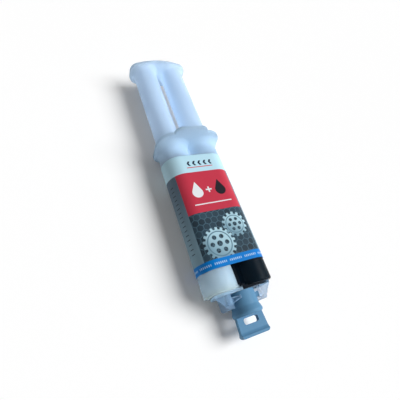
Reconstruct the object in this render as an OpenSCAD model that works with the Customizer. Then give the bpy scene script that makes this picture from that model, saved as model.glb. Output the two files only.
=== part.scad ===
// Twin-barrel syringe for two-part epoxy, lying on the flat lower edge of its finger flange.
// Lengths are in millimetres. X runs across the barrels, Y from the capped nose to the thumb plate, Z up.

/* [Barrels] */
// Outside diameter of each barrel
barrel_od = 17.6; // [15:0.1:22]
// Wall thickness of each barrel
barrel_wall = 1; // [0.8:0.1:1.4]
// Gap between the barrels, closed by the middle web
barrel_gap = 0.8; // [0.4:0.1:1.6]
// Length of the barrels from nose face to the back of the finger flange
barrel_len = 87.5; // [80:0.5:110]
// Thickness of the wall that closes each barrel at the nose
nose_wall = 1.6; // [1.2:0.1:2.4]
// Rounding of each barrel's outer edge at the nose
nose_round = 1; // [0.5:0.1:1.5]
// Height of the web between the barrels
web_h = 6; // [4:0.5:9]

/* [Finger flange] */
// Reach of the finger flange beyond the barrels at each side
flange_side = 1.3; // [0.8:0.1:10]
// Reach of the finger flange above the barrels
flange_rise = 6; // [5:0.1:12]
// Reach of the finger flange below the barrels, down to the flat edge that the syringe lies on
flange_drop = 1.8; // [1:0.1:5]
// Thickness of the finger flange
flange_t = 2.2; // [1.8:0.1:4]
// Radius of the finger flange's upper corners
flange_corner = 9.2; // [4:0.2:12]
// Radius of the finger flange's lower corners
foot_corner = 6; // [3:0.2:8]
// Width of the finger rest, which stands on the flange's upper edge
rest_w = 20.6; // [16:0.2:26]
// Reach of the finger rest above the flange
rest_rise = 4; // [2:0.1:8]
// Corner radius of the finger rest
rest_corner = 5; // [2.4:0.2:7]
// Radius of the flare that runs each barrel out into the flange
flange_flare = 4; // [2:0.5:6]

/* [Nose] */
// Thickness of the pad that the bayonet hooks stand on
pad_t = 1.2; // [0.8:0.1:2]
// Height of the pad
pad_h = 14.4; // [12.4:0.2:16]
// Corner radius of the pad
pad_corner = 6; // [2:0.2:6.8]
// Radius of each of the two outlets
outlet_r = 1.2; // [0.8:0.1:1.5]
// Distance of each outlet from the side of its bore
outlet_inset = 0.3; // [0.1:0.1:0.6]
// Wall of the spout around the outlets
spout_wall = 0.9; // [0.7:0.1:1.4]
// Length of the spout from the nose face
spout_len = 6.4; // [5:0.1:7]

/* [Bayonet hooks] */
// Thickness of each hook's wall
hook_t = 2; // [1.8:0.1:3]
// Rounding of the front edge of each hook's wall
hook_round = 1.2; // [0.4:0.1:1.2]
// Height of each hook's wall from the axis to its open end
hook_open_h = 4.4; // [4:0.1:5.6]
// Thickness of the wall that closes each hook's other end
hook_end_t = 1.2; // [0.8:0.1:2]
// Thickness of the lip that holds a cap ear
lip_t = 1.5; // [1:0.1:2.5]
// Reach of the rib from a hook's wall along the nose face
rib_reach = 4; // [2:0.2:5]
// Thickness of the rib
rib_t = 1.2; // [0.8:0.1:2]
// Thickness of the plate that stops the turned cap
stop_t = 1; // [0.8:0.1:1.6]

/* [Cap] */
// Wall of the cap's neck around the spout
cap_wall = 1.45; // [1.2:0.05:2]
// Distance from the nose face to the back of the cap's ears
ear_off = 3.4; // [3:0.1:4]
// Thickness of each ear
ear_t = 2.4; // [1.8:0.1:3]
// Width of each ear
ear_w = 6; // [5:0.1:6.6]
// Reach of each ear beyond the neck
ear_reach = 1.7; // [1.2:0.1:2.4]
// Reach of the cap's head beyond the neck
head_reach = 0.8; // [0.6:0.1:1.4]
// Length of the cap's head
head_len = 4; // [3.4:0.1:8]
// Length of the slope from the neck to the head's full width
head_slope = 2.4; // [1:0.1:2.6]
// Rounding of the head's front edge
head_round = 1.2; // [0.6:0.1:1.4]

/* [Cap tab] */
// Width of the tab where it leaves the head
tab_root_w = 13.7; // [11:0.1:15]
// Width of the tab at its free end
tab_end_w = 14.6; // [11:0.1:18]
// Length of the tab in front of the head
tab_len = 8.9; // [8:0.1:20]
// Thickness of the tab
tab_t = 2.4; // [1.6:0.1:4]
// Corner radius at the tab's free end
tab_corner = 1.5; // [0.8:0.1:2.5]
// Width of the slot in the tab
slot_w = 7.6; // [5:0.1:9]
// Height of the slot along the tab
slot_h = 2.8; // [2:0.1:4]
// Corner radius of the slot
slot_corner = 0.9; // [0.4:0.1:0.9]
// Length of the thick lip's top at the tab's free end
bead_len = 1.2; // [1:0.1:2]
// Rise of the lip above each face of the tab
bead_rise = 0.8; // [0.3:0.1:1]
// Radius of the hollow that sweeps from each face up to the lip
bead_hollow = 3; // [2:0.2:4]
// Rounding of the lip's front edges
bead_round = 0.8; // [0.3:0.1:0.9]

/* [Cap plug] */
// Thickness of the plug's disc
plug_t = 1.6; // [1.2:0.1:1.8]
// Reach of the disc into the cap's groove
plug_catch = 0.35; // [0.2:0.05:0.5]

/* [Plunger] */
// Radial gap between each rod and its bore
rod_gap = 0.5; // [0.3:0.05:1.5]
// Wall thickness of each rod
rod_wall = 1.3; // [1:0.1:2]
// Length of rod that still shows behind the flange when the barrels are empty
rod_spare = 1.5; // [1:0.1:20]
// Reach of the thumb plate beyond the rods at each side
thumb_side = 2.5; // [2:0.1:8]
// Reach of the thumb plate above and below the rods
thumb_rise = 2.7; // [1.8:0.1:6]
// Thickness of the thumb plate
thumb_t = 2.4; // [1.8:0.1:4]
// Rise of the thumb plate's bowed long sides above its ends
thumb_bow = 1.9; // [0.8:0.1:2.2]
// Corner radius of the thumb plate
thumb_corner = 6.2; // [3:0.2:6.8]
// Radius of the flare that runs each rod out into the thumb plate
thumb_flare = 3; // [1:0.5:4]

/* [Pistons and contents] */
// Length of paste in each barrel
fill_len = 63; // [40:0.5:66]
// Length of each piston's head
piston_len = 7.5; // [6:0.1:10]
// Length of each piston's wiping rings
ring_len = 1.8; // [1:0.1:2.4]
// Depth of the groove between the rings
ring_groove = 0.7; // [0.4:0.1:1.2]
// Length of the stem that plugs a piston into its rod
stem_len = 6; // [4:0.5:12]

/* [Label] */
// Distance from the nose face to the label
label_off = 10.8; // [4:0.2:20]
// Distance from the label to the flare of the finger flange
label_back = 6.5; // [0.5:0.5:30]
// Thickness of the label
label_t = 0.2; // [0.1:0.05:0.5]

/* [Clearances] */
// Radial gap of a sliding or plugged fit
fit_gap = 0.05; // [0.02:0.01:0.1]
// Gap between the cap and the parts that it turns among
run_gap = 0.3; // [0.2:0.05:0.4]
// Gap between the cap's bore and the spout
spout_gap = 0.25; // [0.15:0.05:0.4]
// Gap between faces that all but touch
seat_gap = 0.1; // [0.05:0.05:0.2]
// Depth of the lead-in at each barrel's open end
mouth_depth = 0.8; // [0.4:0.1:1.2]
// Widening of the lead-in
mouth_flare = 0.5; // [0.2:0.1:0.6]

/* [Edges] */
// Rounding of the edges of the finger flange and thumb plate
rim_round = 0.8; // [0.3:0.1:0.8]

/* [Hidden] */
$fn = 96;

// How far a cut runs past a face, and how deep a joined piece is rooted in its neighbour
overrun = 0.5;
// Barrel and rod radii, and the distance of each barrel's axis from the middle
barrel_r = barrel_od / 2;
bore_r = barrel_r - barrel_wall;
rod_r = bore_r - rod_gap;
rod_bore_r = rod_r - rod_wall;
axis_x = (barrel_od + barrel_gap) / 2;
// Front face and width of the flange, and how far it and its rest reach from the barrels' axes
flange_y = barrel_len - flange_t;
flange_w = 2 * (axis_x + barrel_r + flange_side);
flange_up = barrel_r + flange_rise;
flange_down = barrel_r + flange_drop;
rest_up = flange_up + rest_rise;
// Label between the bare nose and the flange's flare
label_len = flange_y - flange_flare - label_back - label_off;
// Outlet places, spout and cap radii
outlet_x = axis_x - bore_r + outlet_inset + outlet_r;
spout_r = outlet_x + outlet_r + spout_wall;
cap_bore_r = spout_r + spout_gap;
neck_r = cap_bore_r + cap_wall;
head_r = neck_r + head_reach;
ear_r = neck_r + ear_reach;
// The hooks stand clear of the ears, and their lips clear of the neck
turn_gap = run_gap + seat_gap;
hook_in = ear_r + turn_gap;
hook_out = hook_in + hook_t;
hook_closed_h = ear_w / 2 + turn_gap + hook_end_t;
lip_in = neck_r + turn_gap;
lip_back = ear_off + ear_t + run_gap;
hook_len = lip_back + lip_t;
// Inner end and height of the stop plate, clear of the turned ear and of the neck
stop_in = ear_w / 2 + turn_gap;
stop_z = sqrt(pow(neck_r + run_gap, 2) - pow(stop_in, 2));
stop_off = ear_off - turn_gap;
stop_wide = ear_t + run_gap;
stop_narrow = stop_wide / 2;
// The pad reaches out to the feet of the ribs
pad_w = 2 * (hook_out + rib_reach);
// Cap faces along the axis, as distances in front of the nose
cap_back = pad_t + seat_gap;
head_back = hook_len + turn_gap;
cap_front = head_back + head_len;
tab_end = cap_front + tab_len;
// Plug and the groove that keeps it in the cap
plug_back = spout_len + seat_gap;
plug_front = plug_back + plug_t;
plug_r = cap_bore_r + plug_catch;
groove_r = plug_r + seat_gap;
prong_r = outlet_r - fit_gap;
prong_end = nose_wall - seat_gap;
// Slot place on the tab
slot_off = 2 * tab_t / 3;
slot_y = cap_front + slot_off / 2 + slot_h / 2;
// Lip on the tab, with hollows that cut a little below the tab's faces
lip_half = tab_t / 2 + bead_rise;
hollow_z = tab_t / 2 - bead_rise / 10 + bead_hollow;
bead_sweep = sqrt(pow(bead_hollow, 2) - pow(hollow_z - lip_half, 2));
// Piston and rod places
piston_y = nose_wall + fill_len + seat_gap;
rod_front = piston_y + piston_len;
rod_reach = fill_len + rod_spare;
thumb_y = barrel_len + rod_reach;
thumb_back = thumb_y + thumb_t;
ring_r = bore_r - fit_gap;
// The thumb plate's bowed long sides run into its corners a little short of a tangent
thumb_w = 2 * (axis_x + rod_r + thumb_side);
thumb_h = 2 * (rod_r + thumb_rise);
thumb_end_h = thumb_h - 2 * thumb_bow;
thumb_corner_x = thumb_w / 2 - thumb_corner;
bow_share = 0.94;
thumb_side_r = bow_share * (pow(thumb_corner_x, 2) + pow(thumb_bow, 2) + 2 * thumb_bow * thumb_corner)
    / (2 * thumb_bow);
thumb_side_z = thumb_h / 2 - thumb_side_r;
thumb_side_x = thumb_corner_x + thumb_corner / 4;
// The part stands on the origin, midway along its length
mid_y = (thumb_back - tab_end) / 2;
axis_z = max(flange_down, thumb_h / 2, barrel_r);

// Moves a piece drawn about the nose to its place over the origin
module place() {
    translate([0, -mid_y, axis_z]) children();
}

// Turns a piece drawn along Z to lie along Y, starting at distance y behind the nose
module along(y, x = 0) {
    translate([x, y, 0]) rotate([-90, 0, 0]) children();
}

// One copy on each barrel's axis
module both() {
    for (side = [-1, 1]) translate([side * axis_x, 0, 0]) children();
}

// Rectangle with round corners, centred
module round_rect(w, h, r) {
    square([w - 2 * r, h], center = true);
    square([w, h - 2 * r], center = true);
    for (sx = [-1, 1], sy = [-1, 1])
        translate([sx * (w / 2 - r), sy * (h / 2 - r)]) circle(r);
}

// Half section of a plate's rim, with both edges rounded
module rim_section(r, t) {
    depth = 3 * rim_round;
    translate([r - depth, 0]) square([depth - rim_round, t]);
    translate([r - depth, rim_round]) square([depth, t - 2 * rim_round]);
    for (z = [rim_round, t - rim_round]) translate([r - rim_round, z]) circle(rim_round);
}

// Rectangle with round corners and uneven reaches: up is along -Y, which along() turns upwards
module uneven_rect(w, up, r_up, down, r_down) {
    side = up - r_up + down - r_down;
    translate([-w / 2, r_up - up]) square([w, side]);
    translate([r_up - w / 2, -up]) square([w - 2 * r_up, r_up + side]);
    translate([r_down - w / 2, r_up - up]) square([w - 2 * r_down, side + r_down]);
    for (sx = [-1, 1]) {
        translate([sx * (w / 2 - r_up), r_up - up]) circle(r_up);
        translate([sx * (w / 2 - r_down), down - r_down]) circle(r_down);
    }
}

// Straight piece of a plate's rim, centred on X
module rim_bar(r, t, length) {
    rotate([90, 0, 0]) linear_extrude(length, center = true) rim_section(r, t);
}

// Plate with round corners and rounded edges: a flat middle, four straight rims and four corners
module round_plate(w, up, r_up, down, r_down, t) {
    inset = 2 * rim_round;
    side = up - r_up + down - r_down;
    up_x = w / 2 - r_up;
    down_x = w / 2 - r_down;
    linear_extrude(t) uneven_rect(w - 2 * inset, up - inset, r_up - inset, down - inset, r_down - inset);
    translate([up_x, r_up - up, 0]) rotate(-90) rotate_extrude(angle = 90) rim_section(r_up, t);
    translate([-up_x, r_up - up, 0]) rotate(180) rotate_extrude(angle = 90) rim_section(r_up, t);
    translate([down_x, down - r_down, 0]) rotate_extrude(angle = 90) rim_section(r_down, t);
    translate([-down_x, down - r_down, 0]) rotate(90) rotate_extrude(angle = 90) rim_section(r_down, t);
    for (turn = [0, 180]) translate([0, r_up - up + side / 2, 0])
        rotate(turn) translate([up_x, 0, 0]) rim_bar(r_up, t, side);
    rotate(-90) translate([up - r_up, 0, 0]) rim_bar(r_up, t, 2 * up_x);
    rotate(90) translate([down - r_down, 0, 0]) rim_bar(r_down, t, 2 * down_x);
}

// Outline of the thumb plate, drawn inside its edge by inset
module thumb_outline(inset) {
    round_rect(thumb_w - 2 * inset, thumb_end_h - 2 * inset, thumb_corner - inset);
    intersection() {
        translate([0, thumb_side_z]) circle(thumb_side_r - inset);
        translate([0, -thumb_side_z]) circle(thumb_side_r - inset);
        square([2 * thumb_side_x, thumb_h], center = true);
    }
}

// Round disc with rounded edges
module round_disc(r, t) {
    rotate_extrude() {
        square([r - rim_round, t]);
        rim_section(r, t);
    }
}

// Thumb plate: a plate with round corners and a middle with bowed sides
module thumb_plate() {
    round_plate(thumb_w, thumb_end_h / 2, thumb_corner, thumb_end_h / 2, thumb_corner, thumb_t);
    intersection() {
        translate([0, thumb_side_z, 0]) round_disc(thumb_side_r, thumb_t);
        translate([0, -thumb_side_z, 0]) round_disc(thumb_side_r, thumb_t);
        translate([-thumb_side_x, -thumb_h, 0]) cube([2 * thumb_side_x, 2 * thumb_h, thumb_t]);
    }
}

// Half section of a hollow flare from radius r to r + f over a height f
module flare_section(r, f) {
    difference() {
        translate([r - overrun, 0]) square([f + overrun, f]);
        translate([r + f, 0]) circle(f);
    }
}

// Half section of one barrel's outside, with its rounded nose edge
module barrel_section() {
    translate([0, nose_round]) square([barrel_r, barrel_len - nose_round]);
    square([barrel_r - nose_round, barrel_len]);
    translate([barrel_r - nose_round, nose_round]) circle(nose_round);
}

// Hook on the +X side: wall, lip, closed lower end, stop plate and the rib at height rib_z
module hook(rib_z) {
    hook_h = hook_open_h + hook_closed_h;
    round_y = hook_round - hook_len;
    translate([0, 0, -hook_closed_h]) linear_extrude(hook_h) {
        translate([hook_in, round_y]) square([hook_t, overrun - round_y]);
        translate([hook_in, -hook_len]) square([hook_t - hook_round, hook_len]);
        translate([hook_out - hook_round, round_y]) circle(hook_round);
    }
    translate([lip_in, -hook_len, -hook_closed_h]) cube([hook_in - lip_in + overrun, lip_t, hook_h]);
    translate([lip_in, -hook_len, -hook_closed_h])
        cube([hook_in - lip_in + overrun, hook_len + overrun, hook_end_t]);
    foot_y = stop_off + stop_wide;
    translate([hook_in, -foot_y, -stop_z - stop_t]) cube([hook_t, foot_y + overrun, stop_z + stop_t]);
    translate([0, 0, -stop_z - stop_t]) linear_extrude(stop_t)
        polygon([[stop_in, -stop_off], [hook_out, -stop_off], [hook_out, -foot_y],
                 [hook_in, -foot_y], [stop_in, -stop_off - stop_narrow]]);
    translate([0, 0, rib_z]) linear_extrude(rib_t)
        polygon([[hook_out - overrun, 0], [hook_out + rib_reach, 0], [hook_out + rib_reach, -pad_t],
                 [hook_out, round_y], [hook_out - overrun, round_y]]);
}

// Barrels, web, finger flange with its rest, spout and bayonet hooks, moulded in one piece
module twin_barrel() {
    rims = 2 * rim_round;
    color("aliceblue") place() difference() {
        union() {
            both() along(0) rotate_extrude() barrel_section();
            along(0) linear_extrude(barrel_len) square([2 * axis_x, web_h], center = true);
            along(flange_y)
                round_plate(flange_w, flange_up, flange_corner, flange_down, foot_corner, flange_t);
            along(flange_y) round_plate(rest_w, rest_up, rest_corner, rest_corner, rest_corner, flange_t);
            intersection() {
                both() along(flange_y - flange_flare) rotate_extrude()
                    flare_section(barrel_r, flange_flare + seat_gap);
                along(flange_y - flange_flare - overrun) linear_extrude(flange_flare + 2 * overrun)
                    uneven_rect(flange_w - rims, flange_up - rim_round, flange_corner - rim_round,
                                flange_down - rim_round, foot_corner - rim_round);
            }
            along(-pad_t) linear_extrude(pad_t + overrun) round_rect(pad_w, pad_h, pad_corner);
            along(-spout_len) cylinder(h = spout_len + nose_wall, r = spout_r);
            hook(hook_open_h - rib_t);
            rotate([0, 180, 0]) hook(-hook_closed_h);
        }
        both() along(nose_wall) cylinder(h = barrel_len, r = bore_r);
        both() along(barrel_len - mouth_depth)
            cylinder(h = mouth_depth + seat_gap, r1 = bore_r, r2 = bore_r + mouth_flare);
        for (side = [-1, 1]) along(-spout_len - overrun, side * outlet_x)
            cylinder(h = spout_len + nose_wall + 2 * overrun, r = outlet_r);
    }
}

// Outline that wraps both barrels, flat across the valley between them
module wrap_outline(r) {
    for (side = [-1, 1]) translate([side * axis_x, 0]) circle(r);
    square([2 * axis_x, 2 * r], center = true);
}

// Printed film around both barrels
module label_wrap() {
    color("white") place() along(label_off) linear_extrude(label_len) difference() {
        wrap_outline(barrel_r + fit_gap + label_t);
        wrap_outline(barrel_r + fit_gap);
    }
}

// Two hollow rods and the thumb plate, moulded in one piece
module plunger() {
    color("ghostwhite") place() difference() {
        union() {
            both() along(rod_front) cylinder(h = thumb_y - rod_front + overrun, r = rod_r);
            along(thumb_y) thumb_plate();
            intersection() {
                both() along(thumb_y - thumb_flare) rotate_extrude()
                    flare_section(rod_r, thumb_flare + seat_gap);
                along(thumb_y - thumb_flare - overrun) linear_extrude(thumb_flare + 2 * overrun)
                    thumb_outline(rim_round);
            }
        }
        both() along(rod_front - overrun)
            cylinder(h = thumb_y - rod_front + overrun - rod_wall, r = rod_bore_r);
    }
}

// One piston: two wiping rings, the groove between them and the stem that plugs into the rod
module piston() {
    along(piston_y) rotate_extrude() {
        square([ring_r, ring_len]);
        square([ring_r - ring_groove, piston_len]);
        translate([0, piston_len - ring_len]) square([ring_r, ring_len]);
        square([rod_bore_r - fit_gap, piston_len + stem_len]);
    }
}

// Piston in the resin barrel
module piston_resin() {
    color("dimgray") place() translate([-axis_x, 0, 0]) piston();
}

// Piston in the hardener barrel
module piston_hardener() {
    color("dimgray") place() translate([axis_x, 0, 0]) piston();
}

// Paste that fills one barrel from the nose wall to the piston
module paste() {
    along(nose_wall + fit_gap) cylinder(h = fill_len, r = bore_r - fit_gap);
}

// White resin
module resin_fill() {
    color("ivory") place() translate([-axis_x, 0, 0]) paste();
}

// Black hardener
module hardener_fill() {
    color("black") place() translate([axis_x, 0, 0]) paste();
}

// Half section of the cap, from its back edge to its front face
module cap_section() {
    head_y = head_back - cap_back;
    round_y = cap_front - cap_back - head_round;
    square([neck_r, round_y]);
    polygon([[0, head_y], [neck_r, head_y], [head_r, head_y + head_slope], [head_r, round_y], [0, round_y]]);
    translate([0, head_y]) square([head_r - head_round, head_len]);
    translate([head_r - head_round, round_y]) circle(head_round);
}

// Outline of the tab, growing from the cap's head
module tab_outline() {
    straight_end = tab_end - tab_corner;
    polygon([[-tab_root_w / 2, -cap_front], [-tab_end_w / 2, -straight_end],
             [tab_end_w / 2, -straight_end], [tab_root_w / 2, -cap_front],
             [tab_root_w / 2, -head_back - head_len / 2], [-tab_root_w / 2, -head_back - head_len / 2]]);
    translate([tab_corner - tab_end_w / 2, -tab_end]) square([tab_end_w - 2 * tab_corner, 2 * tab_corner]);
    for (side = [-1, 1]) translate([side * (tab_end_w / 2 - tab_corner), -straight_end]) circle(tab_corner);
}

// Side view of the tab's lip, back from the tab's end: round in front and hollow behind
module lip_section() {
    difference() {
        union() {
            translate([bead_round, -lip_half]) square([bead_len + bead_sweep - bead_round, 2 * lip_half]);
            translate([0, bead_round - lip_half]) square([2 * bead_round, 2 * (lip_half - bead_round)]);
            for (face = [-1, 1]) translate([bead_round, face * (lip_half - bead_round)]) circle(bead_round);
        }
        for (face = [-1, 1]) translate([bead_len + bead_sweep, face * hollow_z]) circle(bead_hollow);
    }
}

// Turning cap: round neck with two ears, wider head and the flat tab with its slot
module closure_cap() {
    color("slategray") place() difference() {
        union() {
            mirror([0, 1, 0]) along(cap_back) rotate_extrude() cap_section();
            intersection() {
                translate([-ear_r, -ear_off - ear_t, -ear_w / 2]) cube([2 * ear_r, ear_t, ear_w]);
                along(-ear_off - ear_t - overrun) cylinder(h = ear_t + 2 * overrun, r = ear_r);
            }
            translate([0, 0, -tab_t / 2]) linear_extrude(tab_t) tab_outline();
            intersection() {
                translate([0, 0, -lip_half]) linear_extrude(2 * lip_half) tab_outline();
                translate([-tab_end_w, -tab_end, 0]) rotate([90, 0, 90])
                    linear_extrude(2 * tab_end_w) lip_section();
            }
        }
        along(-plug_front - seat_gap) cylinder(h = plug_front, r = cap_bore_r);
        along(-plug_front - seat_gap) cylinder(h = plug_t + 2 * seat_gap, r = groove_r);
        translate([0, -slot_y, -tab_t]) linear_extrude(2 * tab_t) round_rect(slot_w, slot_h, slot_corner);
    }
}

// Plug that stays still while the cap turns: a disc and a prong for each outlet
module cap_plug() {
    color("gray") place() {
        along(-plug_front) cylinder(h = plug_t, r = plug_r);
        for (side = [-1, 1]) along(-plug_front, side * outlet_x)
            cylinder(h = plug_front + prong_end, r = prong_r);
    }
}

twin_barrel();
label_wrap();
plunger();
piston_resin();
piston_hardener();
resin_fill();
hardener_fill();
closure_cap();
cap_plug();
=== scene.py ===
import math

import bpy
import numpy as np
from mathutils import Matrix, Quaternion, Vector


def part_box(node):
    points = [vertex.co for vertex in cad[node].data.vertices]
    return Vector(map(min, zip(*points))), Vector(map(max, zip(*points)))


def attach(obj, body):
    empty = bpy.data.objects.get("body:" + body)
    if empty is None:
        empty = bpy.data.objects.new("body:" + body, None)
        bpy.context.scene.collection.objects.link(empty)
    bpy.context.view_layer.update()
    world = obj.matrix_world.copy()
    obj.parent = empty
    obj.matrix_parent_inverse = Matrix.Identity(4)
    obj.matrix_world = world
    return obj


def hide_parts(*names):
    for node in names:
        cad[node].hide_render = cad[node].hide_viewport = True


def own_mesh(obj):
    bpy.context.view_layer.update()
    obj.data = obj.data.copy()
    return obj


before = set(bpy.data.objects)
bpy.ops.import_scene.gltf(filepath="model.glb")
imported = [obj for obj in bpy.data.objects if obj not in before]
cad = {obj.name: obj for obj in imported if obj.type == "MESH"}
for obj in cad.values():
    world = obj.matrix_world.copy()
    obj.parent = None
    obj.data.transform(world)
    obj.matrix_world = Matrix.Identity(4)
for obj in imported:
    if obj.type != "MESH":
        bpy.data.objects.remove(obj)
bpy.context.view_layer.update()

# The two pastes: ivory resin in the left barrel and black hardener in the right one, filled in from behind.
# The wet wall is clear and works as a lens, which shows them as wide as the barrel and right up to its nose,
# so their surfaces lie just under its outside. They are pressed out as the plunger goes in.

mm = 0.001


class Shade:
    """A socket of a node tree: arithmetic on it adds Math nodes, and node() adds any other node."""

    def __init__(self, tree, socket):
        self.tree = tree
        self.socket = socket

    def node(self, kind, settings, inputs, output=0):
        """Adds a node, makes its settings, then sets or links its sockets, and gives one output."""
        made = self.tree.nodes.new("ShaderNode" + kind)
        for name, value in settings.items():
            setattr(made, name, value)
        for socket, value in inputs.items():
            if isinstance(value, Shade):
                self.tree.links.new(value.socket, made.inputs[socket])
            else:
                made.inputs[socket].default_value = value
        return Shade(self.tree, made.outputs[output])

    def math(self, operation, *values):
        return self.node("Math", {"operation": operation}, dict(enumerate(values)))

    def __add__(self, other):
        return self.math("ADD", self, other)

    def __sub__(self, other):
        return self.math("SUBTRACT", self, other)

    def __mul__(self, other):
        return self.math("MULTIPLY", self, other)

    def __rsub__(self, other):
        return self.math("SUBTRACT", other, self)

    def __and__(self, other):
        return self.math("MINIMUM", self, other)

    def __or__(self, other):
        return self.math("MAXIMUM", self, other)

    def __lt__(self, other):
        return self.math("LESS_THAN", self, other)

    def __abs__(self):
        return self.math("ABSOLUTE", self)

    __radd__ = __add__
    __rmul__ = __mul__

    def above(self, edge, soft):
        """0 below the edge and 1 above it, with a smooth step as wide as 2 x soft."""
        ends = {"From Min": edge - soft, "From Max": edge + soft}
        return self.node("MapRange", {"interpolation_type": "SMOOTHSTEP"}, {"Value": self, **ends})

    def below(self, edge, soft):
        return 1 - self.above(edge, soft)

    def mix(self, first, second):
        """The first colour where this value is 0, and the second where it is 1."""
        return self.node("Mix", {"data_type": "RGBA"}, {0: self, 6: first, 7: second}, 2)

    def between(self, low, high):
        """The low number where this value is 0, and the high one where it is 1."""
        return self * (high - low) + low

    def split(self):
        """The x, y and z of a vector."""
        return [self.node("SeparateXYZ", {}, {0: self}, axis) for axis in range(3)]

    def cloud(self, size, detail=2.0):
        """Soft noise over a place in millimetres, from 0 to 1, with blots of about that size."""
        return self.node("TexNoise", {}, {"Vector": self, "Scale": 1 / size, "Detail": detail})

    def drawn_out(self, along):
        """A place in millimetres, on which a pattern is longer along Y by this factor."""
        return self.node("VectorMath", {"operation": "MULTIPLY"}, {0: self, 1: (1, 1 / along, 1)})


def srgb(red, green, blue):
    """A colour as it is seen, 0 to 255, as the shader's linear values."""
    seen = np.array([red, green, blue]) / 255
    linear = np.where(seen <= 0.04045, seen / 12.92, ((seen + 0.055) / 1.055) ** 2.4)
    return (*linear, 1.0)


def finish(name, **constants):
    """A new material, with these values on its shader's own sockets, and the place on it in millimetres."""
    material = bpy.data.materials.new(name)
    material.use_nodes = True
    tree = material.node_tree
    shader = tree.nodes["Principled BSDF"]
    shader.subsurface_method = "BURLEY"
    for socket, value in constants.items():
        shader.inputs[socket.replace("_", " ")].default_value = value
    place = Shade(tree, tree.nodes.new("ShaderNodeTexCoord").outputs["Object"])
    place = place.node("VectorMath", {"operation": "SCALE"}, {0: place, "Scale": 1 / mm})
    return material, place


def feed(material, **inputs):
    """Links what changes over the surface to the material's shader."""
    shader = material.node_tree.nodes["Principled BSDF"]
    for socket, value in inputs.items():
        material.node_tree.links.new(value.socket, shader.inputs[socket.replace("_", " ")])


def grain(height, depth):
    """The normal of a surface raised by height, from 0 to 1, times a depth in millimetres."""
    return height.node("Bump", {}, {"Strength": 1.0, "Distance": depth * mm, "Height": height})


def dress(piece, material):
    piece.data.materials.clear()
    piece.data.materials.append(material)


def turned(name, radius, along, middle, sides=96, crease=math.radians(40)):
    """A closed solid of revolution about Y: its point i, t is middle + (r_i cos t, y_i, r_i sin t), mm."""
    turn = np.arange(sides) * 2 * np.pi / sides
    rounds = np.outer(radius, np.cos(turn)), np.outer(along, np.ones(sides)), np.outer(radius, np.sin(turn))
    points = np.stack(rounds, axis=-1).reshape(-1, 3) + middle
    first = np.arange(sides)
    after = (first + 1) % sides
    ring = np.arange(len(radius) - 1)[:, None] * sides
    walls = np.stack([ring + first, ring + sides + first, ring + sides + after, ring + after], axis=-1)
    ends = [first.tolist(), (first[::-1] + (len(radius) - 1) * sides).tolist()]
    mesh = bpy.data.meshes.new(name)
    mesh.from_pydata((points * mm).tolist(), [], walls.reshape(-1, 4).tolist() + ends)
    mesh.shade_smooth()
    mesh.set_sharp_from_angle(angle=crease)
    piece = bpy.data.objects.new(name, mesh)
    bpy.context.scene.collection.objects.link(piece)
    return piece


barrel_r, nose_round, nose_wall = 8.8, 1.0, 1.65
skin, bend_points = 0.12, 9
cream_len, cream_soft = 1.5, 2.5
paste_low, paste_high = (end.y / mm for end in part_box("resin_fill"))
nose_face = paste_low - nose_wall
bend = np.linspace(0, np.pi / 2, bend_points)
paste_r = np.append(barrel_r - nose_round + (nose_round - skin) * np.sin(bend), barrel_r - skin)
paste_y = np.append(nose_face + nose_round - (nose_round - skin) * np.cos(bend), paste_high)

resin, place = finish("resin paste", Specular_IOR_Level=0.15, Subsurface_Weight=1.0,
                      Subsurface_Radius=(1, 1, 1), Subsurface_Scale=20 * mm)
swirl = place.drawn_out(along=3).cloud(size=5)
cream = place.split()[1].below(nose_face + cream_len, cream_soft)
ivory = cream.mix(swirl.mix(srgb(197, 224, 242), srgb(202, 228, 243)), srgb(208, 226, 222))
feed(resin, Base_Color=ivory, Roughness=swirl.between(0.3, 0.4))

hardener, place = finish("hardener paste", Specular_IOR_Level=0.05)
swirl = place.drawn_out(along=3).cloud(size=5)
feed(hardener, Base_Color=swirl.mix(srgb(8, 24, 36), srgb(14, 32, 44)), Roughness=swirl.between(0.3, 0.4))

for node, material in (("resin_fill", resin), ("hardener_fill", hardener)):
    middle = np.array(sum(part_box(node), Vector())) / 2 / mm * (1, 0, 1)
    paste = turned(node.replace("fill", "body"), paste_r, paste_y, middle)
    dress(paste, material)
    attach(paste, "barrel")
    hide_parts(node)
    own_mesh(paste)

# The pistons: soft black rubber, each moulded with two wiping rings and a stem that plugs into the end of
# its rod. They push the pastes out and keep them from running back along the rods.

rubber, place = finish("piston rubber")
bloom = place.cloud(size=2)
feed(rubber, Base_Color=bloom.mix(srgb(30, 30, 32), srgb(52, 52, 54)), Roughness=bloom.between(0.55, 0.75))
for piston in ("piston_resin", "piston_hardener"):
    dress(cad[piston], rubber)

# The twin barrel: one moulding of milky polypropylene, with its web, finger flange, spout and hooks.
# Where paste wets the wall the plastic turns clear. Elsewhere it is a cloudy bluish white, which lets part
# of the lamp's light through.

barrel, place = finish("barrel plastic", IOR=1.49, Specular_IOR_Level=0.04, Subsurface_Weight=1.0,
                       Subsurface_Radius=(1, 1, 1), Subsurface_Scale=16 * mm)
x, y, z = place.split()
barrel_z = float(sum(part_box("resin_fill"), Vector()).z) / 2 / mm
ahead = nose_face - y
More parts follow.
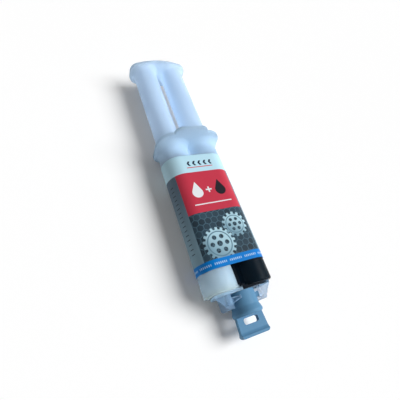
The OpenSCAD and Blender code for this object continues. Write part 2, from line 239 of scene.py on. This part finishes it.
# How much each zone hides what lies behind it, from 0 to 1
milk_cover, wall_cover, pad_cover = 0.96, 0.2, 0.99
hook_cover, plate_cover, edge_cover = 0.45, 0.16, 0.6
milk_pass = 0.55
pad_t, web_low, web_high = 1.2, -1.0, 2.0
seam_x, rim_x, rim_soft = -1.2, 13.0, 4.0
parting_half, parting_rise, grain_share = 0.12, 0.03, 0.3
crisp, web_soft, wet_soft, seam_soft = 0.1, 0.3, 0.5, 0.05
flow = place.drawn_out(along=6).cloud(size=4)
milk = flow.mix(srgb(168, 194, 217), srgb(174, 200, 222))
wetted = y.below(paste_high, wet_soft)
# The web between the barrels is made nearly opaque and takes the hardener's black: painted shade for the
# dark valley between the two barrels.
web_valley_shade = x.above(web_low, crisp) * x.below(web_high, web_soft) * wetted * ahead.below(pad_t, crisp)
hooks = ahead.above(pad_t, crisp)
pad = ahead.above(crisp, crisp) - hooks
hook_in, stop_in, stop_near, stop_far, stop_slope, stop_z = 8.8, 3.4, 3.0, 5.7, 0.25, 6.0
stop_gap, stop_rim, stop_border = 0.3, 0.4, 0.35
# The stop plates beside the spout are thin and clear. A painted highlight runs along their edges as a paler,
# less clear band
plates = ((z - barrel_z) * x.math("SIGN", x)).below(-stop_z, crisp) * abs(x).below(hook_in, crisp)
plates = plates * ahead.above(stop_near - stop_gap, crisp)
slant = stop_far - (hook_in - abs(x)) * stop_slope
plate_edge_highlights = abs(x).below(stop_in + stop_rim, crisp) | ahead.below(stop_near + stop_border, crisp)
plate_edge_highlights = plate_edge_highlights | (slant - ahead).below(stop_border, crisp)
front_cover = plates.between(hook_cover, plate_edge_highlights.between(plate_cover, edge_cover))
cover = wetted.between(milk_cover, wall_cover) + (front_cover - wall_cover) * hooks
cover = cover + (pad | web_valley_shade) * (pad_cover - wall_cover)
# Part of the lamp's light passes the dry plastic, which lightens its shadow
passed = place.node("LightPath", {}, {}, "Is Shadow Ray") * (1 - wetted) * milk_pass
stain_black, rim_highlight_grey = srgb(5, 16, 26), srgb(88, 116, 140)
stain_white, pad_white, hook_white = srgb(190, 219, 238), srgb(142, 170, 192), srgb(130, 162, 190)
# On the hardener's side the pad turns grey towards its outer edge: a painted highlight along the rounded
# nose rim.
pad_rim_highlight = x.above(rim_x, rim_soft).mix(stain_black, rim_highlight_grey)
black_side = pad.mix(stain_black, pad_rim_highlight)
white_side = pad.mix(stain_white, pad_white)
paste_tint = x.above(seam_x, seam_soft).mix(white_side, black_side)
tint = hooks.mix(wetted.mix(milk, paste_tint), hook_white)
parting = abs(z - barrel_z).below(parting_half, parting_half / 2)
feed(barrel, Base_Color=tint, Roughness=flow.between(0.3, 0.42), Alpha=cover - passed,
     Normal=grain(place.cloud(size=0.6) * grain_share + parting, parting_rise))
dress(cad["twin_barrel"], barrel)

# The label: a printed film wrapped round both barrels and glued to itself underneath. Its fields are
# a white head, a red field, a picture of gear wheels and a blue foot, with a grey strip down each flank.

label_low, label_high = (np.array(end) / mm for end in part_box("label_wrap"))
film_r = float(label_high[2] - label_low[2]) / 2
film_x = float(label_high[0]) - film_r
film_z = float(label_high[2] + label_low[2]) / 2
blue_end, picture_end, red_end = 4.2, 28.55, 52.7
panel_half = 15.6
print_soft, fold_soft = 0.12, 0.01


def past_nearest(value, step):
    """How far a value is past the nearest of even steps, from -step / 2 to step / 2."""
    return value.math("WRAP", value, step / 2, -step / 2)


def distance(u, v):
    """Straight distance of the place u, v from 0, 0."""
    square = u * u + v * v
    return square.math("SQRT", square)


def disc(u, v, radius):
    """1 within a radius of the place u, v."""
    return distance(u, v).below(radius, print_soft)


def block(u, v, half_u, half_v):
    """1 within a rectangle about the place u, v."""
    return ((abs(u) - half_u) | (abs(v) - half_v)).below(0, print_soft)


def six_sided(u, v):
    """Distance from the middle of a hexagon, counted square to its nearest side."""
    return abs(v) | (abs(u) * math.cos(math.radians(30)) + abs(v) * math.sin(math.radians(30)))


def drop(u, v, radius, tip_share=2.2):
    """A drop: a disc and the two straight lines from its tip that touch it."""
    tip = tip_share * radius
    touch = radius * radius / tip
    slope = math.tan(math.asin(radius / tip))
    cone = (abs(u) - (tip - v) * slope).below(0, print_soft) * v.above(touch, print_soft)
    return disc(u, v, radius) | cone


def gear(u, v, root, tooth, count, flank=0.4):
    """A gear wheel of that root radius, higher by a tooth wherever sin(count x angle) is above 0."""
    angle = u.math("ARCTAN2", v, u)
    wave = u.math("SINE", angle * count)
    return (distance(u, v) - wave.above(0, flank) * tooth).below(root, print_soft)


def ring_of_holes(u, v, ring, radius, count):
    """Discs at even steps of a circle, from the angle counted from the nearest one."""
    angle = u.math("ARCTAN2", v, u)
    sector = past_nearest(angle, 2 * math.pi / count)
    reach = distance(u, v)
    return disc(reach * u.math("COSINE", sector) - ring, reach * u.math("SINE", sector), radius)


def honeycomb(u, v, pitch):
    """Place in the nearest cell of two grids of cells, one set half a step off the other, and its number."""
    row = pitch * math.sqrt(3)
    near = [(past_nearest(u - off * pitch, pitch), past_nearest(v - off * row, row)) for off in (0, 0.5)]
    first, second = (a * a + b * b for a, b in near)
    pick = first < second
    cell_u, cell_v = (pick * a + (1 - pick) * b for a, b in zip(*near))
    middle = u.node("CombineXYZ", {}, {0: u - cell_u, 1: v - cell_v})
    return cell_v, cell_u, u.node("TexWhiteNoise", {"noise_dimensions": "2D"}, {"Vector": middle})


film, place = finish("label film", Specular_IOR_Level=0.12)
x, y, z = place.split()
v = y - float(label_low[1])
past = (abs(x) - film_x) | 0.0
turn = x.math("ARCTAN2", past, z - film_z)
fold = turn & (math.pi - turn)
across = (abs(x) & film_x) + film_r * fold
u = across * x.math("SIGN", x)
panel = across.below(panel_half, print_soft)
underside = turn.above(math.pi / 2, fold_soft)

comb_pitch, comb_half = 3.4, 1.5
cell_u, cell_v, chance = honeycomb(u, v, comb_pitch)
cell = six_sided(cell_u, cell_v).below(comb_half, print_soft)
picture = cell.mix(srgb(70, 98, 114), chance.mix(srgb(34, 48, 58), srgb(52, 74, 88)))
# Each gear wheel's place across and along the label, its root radius and its number of teeth
gears = ((-5.0, 11.0, 7.2, 18), (6.6, 19.2, 5.5, 14))
tooth, hole_count = 1.3, 6
sheen_lean, sheen_wave = 0.7, 2
groove_out_share, groove_in_share, ring_share, hole_share, hub_share = 0.9, 0.82, 0.54, 0.16, 0.2
for gear_u, gear_v, root, count in gears:
    at_u, at_v = u - gear_u, v - gear_v
    sheen = (at_u * sheen_lean + at_v + place.cloud(size=3) * sheen_wave).above(0, root)
    steel = sheen.mix(srgb(124, 160, 178), srgb(176, 212, 226))
    groove = disc(at_u, at_v, root * groove_out_share) - disc(at_u, at_v, root * groove_in_share)
    holes = ring_of_holes(at_u, at_v, root * ring_share, root * hole_share, hole_count)
    holes = holes | disc(at_u, at_v, root * hub_share)
    wheel = gear(at_u, at_v, root, tooth, count) * (1 - holes)
    picture = wheel.mix(picture, groove.mix(steel, srgb(96, 130, 148)))

red = place.cloud(size=8).mix(srgb(194, 54, 74), srgb(200, 60, 80))
drop_u, drop_v, drop_r = 6.6, 40.0, 3.0
plus_v, plus_half, plus_bar = 41.0, 1.7, 0.4
rule_v, rule_half, rule_bar = 33.0, 10.5, 0.3
white_drop = drop(u + drop_u, v - drop_v, drop_r)
dark_drop = drop(u - drop_u, v - drop_v, drop_r)
plus = block(u, v - plus_v, plus_half, plus_bar) | block(u, v - plus_v, plus_bar, plus_half)
rule = block(u, v - rule_v, rule_half, rule_bar)
red = (white_drop | plus | rule).mix(red, srgb(232, 236, 240))
red = dark_drop.mix(red, srgb(30, 26, 34))

fade_v, fade_soft = 26, 24
mark_step, mark_half_w, mark_half_len, mark_u = 2.5, 0.2, 1.2, 20
fields_v, marks_half, frame_half_u, frame_half_v, frame_w = 28, 20, 12.5, 21, 0.4
grey = v.above(fade_v, fade_soft).mix(srgb(132, 164, 180), srgb(92, 112, 128))
marks = block(past_nearest(v, mark_step), across - mark_u, mark_half_w, mark_half_len)
marks = marks * (abs(v - fields_v) - marks_half).below(0, print_soft)
grey = marks.mix(grey, srgb(44, 58, 70))
frame_line = block(u, v - fields_v, frame_half_u, frame_half_v)
frame_line = frame_line - block(u, v - fields_v, frame_half_u - frame_w, frame_half_v - frame_w)
plain = frame_line.mix(srgb(176, 202, 214), srgb(112, 140, 156))
front = v.below(picture_end, print_soft).mix(red, picture)
fields = panel.mix(grey, underside.mix(front, plain))

head_white = srgb(190, 228, 243)
head_v, head_half, line_v, line_bar = 58.4, 7.6, 55.8, 0.25
chevron_step, chevron_lean, chevron_bar, chevron_half = 3.2, 0.6, 0.6, 1.5
chevron = past_nearest(u - abs(v - head_v) * chevron_lean, chevron_step)
chevrons = (abs(chevron) - chevron_bar).below(0, print_soft) * block(u, v - head_v, head_half, chevron_half)
head = chevrons.mix(head_white, srgb(24, 40, 62))
head = block(u, v - line_v, head_half, line_bar).mix(head, srgb(204, 60, 72))
head = underside.mix(head, head_white)
dash_step, dash_v, dash_half_w, dash_half_len = 1.0, 2.1, 0.22, 0.5
group_step, group_half = 8.0, 3.1
dashes = block(past_nearest(u, dash_step), v - dash_v, dash_half_w, dash_half_len)
dashes = dashes * (abs(past_nearest(u, group_step)) - group_half).below(0, print_soft)
foot = dashes.mix(srgb(0, 122, 206), srgb(190, 220, 242))
colour = v.above(red_end, print_soft).mix(v.below(blue_end, print_soft).mix(fields, foot), head)
ripple = place.drawn_out(along=3).cloud(size=12)
feed(film, Base_Color=colour, Roughness=place.cloud(size=1.2).between(0.32, 0.44),
     Normal=grain(ripple, depth=0.06))
dress(cad["label_wrap"], film)

# The plunger: two hollow rods on one thumb plate with bowed long sides, moulded in one piece of the same
# milky plastic as the barrel. It slides in the bores, and light that enters it comes out again all round.

rods, place = finish("plunger plastic", IOR=1.49, Specular_IOR_Level=0.15, Subsurface_Weight=1.0,
                     Subsurface_Radius=(1, 1, 1), Subsurface_Scale=18 * mm)
flow = place.drawn_out(along=8).cloud(size=5)
passed = place.node("LightPath", {}, {}, "Is Shadow Ray") * milk_pass
feed(rods, Base_Color=flow.mix(srgb(174, 198, 221), srgb(180, 203, 226)), Roughness=flow.between(0.35, 0.5),
     Alpha=1 - passed, Normal=grain(place.cloud(size=0.6), depth=0.01))
dress(cad["plunger"], rods)

# The plug under the cap: soft grey polyethylene, moulded as a disc with a prong for each outlet. It stays
# still while the cap turns, and keeps the two pastes apart.

plug, place = finish("plug plastic")
flow = place.cloud(size=1.5)
feed(plug, Base_Color=flow.mix(srgb(160, 163, 168), srgb(176, 179, 183)), Roughness=flow.between(0.4, 0.6))
dress(cad["cap_plug"], plug)

# The cap: blue-grey polypropylene. It is pushed over the spout and turned a quarter turn, which takes its
# two ears under the hooks. The flat tab is the handle, with a slot through it.

cap, place = finish("cap plastic", IOR=1.49, Specular_IOR_Level=0.1)
flow = place.drawn_out(along=3).cloud(size=3)
feed(cap, Base_Color=flow.mix(srgb(90, 138, 174), srgb(100, 148, 184)), Roughness=flow.between(0.35, 0.5),
     Normal=grain(place.cloud(size=0.5), depth=0.012))
dress(cad["closure_cap"], cap)

# The table and the studio: a white table that the syringe lies on, a little nose down, on its flange's
# lower edge and on the label under its barrels, with one soft lamp on the right and white all round.

nose_down = math.radians(1.175)
foot_off = 1.4
flange_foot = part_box("twin_barrel")[1].y - foot_off * mm
table_half = 3.0
spread = np.array([[-1, -1], [1, -1], [1, 1], [-1, 1]]) * table_half
corners = np.column_stack([spread, -spread[:, 1] * math.tan(nose_down)])
corners[:, 1] += flange_foot
mesh = bpy.data.meshes.new("table")
mesh.from_pydata(corners.tolist(), [], [(0, 1, 2, 3)])
table = bpy.data.objects.new("table", mesh)
bpy.context.scene.collection.objects.link(table)


def seen_by(tree):
    """1 for rays from the camera, a mirror or glass, and 0 for those that light things."""
    path = tree.nodes.new("ShaderNodeLightPath").outputs
    camera, glossy, clear = (Shade(tree, path[name]) for name in
                             ("Is Camera Ray", "Is Glossy Ray", "Is Transmission Ray"))
    return camera | glossy | clear


table_white, place = finish("table white", Roughness=0.9, Specular_IOR_Level=0.0, Emission_Strength=1.0)
table_glow = 0.065
seen = seen_by(table_white.node_tree)
feed(table_white, Base_Color=place.cloud(size=400).mix(srgb(252, 252, 252), srgb(254, 254, 254)),
     Emission_Color=seen.mix((0, 0, 0, 1), (table_glow, table_glow, table_glow, 1)))
dress(table, table_white)

room_light = 0.16
room = bpy.data.worlds.new("room")
room.use_nodes = True
bpy.context.scene.world = room
seen = seen_by(room.node_tree)
light = seen.mix((room_light, room_light, room_light, 1), (1, 1, 1, 1))
room.node_tree.links.new(light.socket, room.node_tree.nodes["Background"].inputs["Color"])

lamp_from = Vector((0.664, -0.189, 0.723)).normalized()
lamp_data = bpy.data.lights.new("soft lamp", "SUN")
lamp_data.angle = math.radians(36)
lamp_data.energy = 3.44
lamp = bpy.data.objects.new("soft lamp", lamp_data)
lamp.rotation_mode = "QUATERNION"
lamp.rotation_quaternion = lamp_from.to_track_quat("Z", "Y")
bpy.context.scene.collection.objects.link(lamp)

camera_at = Vector((-64.16, -80.60, 141.02)) * mm
camera_aim = Vector((-2.74, -15.94, 10.60)) * mm
camera_roll = math.radians(28.645)
camera_data = bpy.data.cameras.new("camera")
camera_data.sensor_width = 36
camera_data.lens = 25.91
camera_data.clip_start = 5 * mm
camera = bpy.data.objects.new("camera", camera_data)
camera.location = camera_at
camera.rotation_mode = "QUATERNION"
level = (camera_aim - camera_at).to_track_quat("-Z", "Y")
camera.rotation_quaternion = level @ Quaternion((0, 0, 1), camera_roll)
bpy.context.scene.collection.objects.link(camera)
bpy.context.scene.camera = camera
bpy.context.scene.view_settings.view_transform = "Standard"
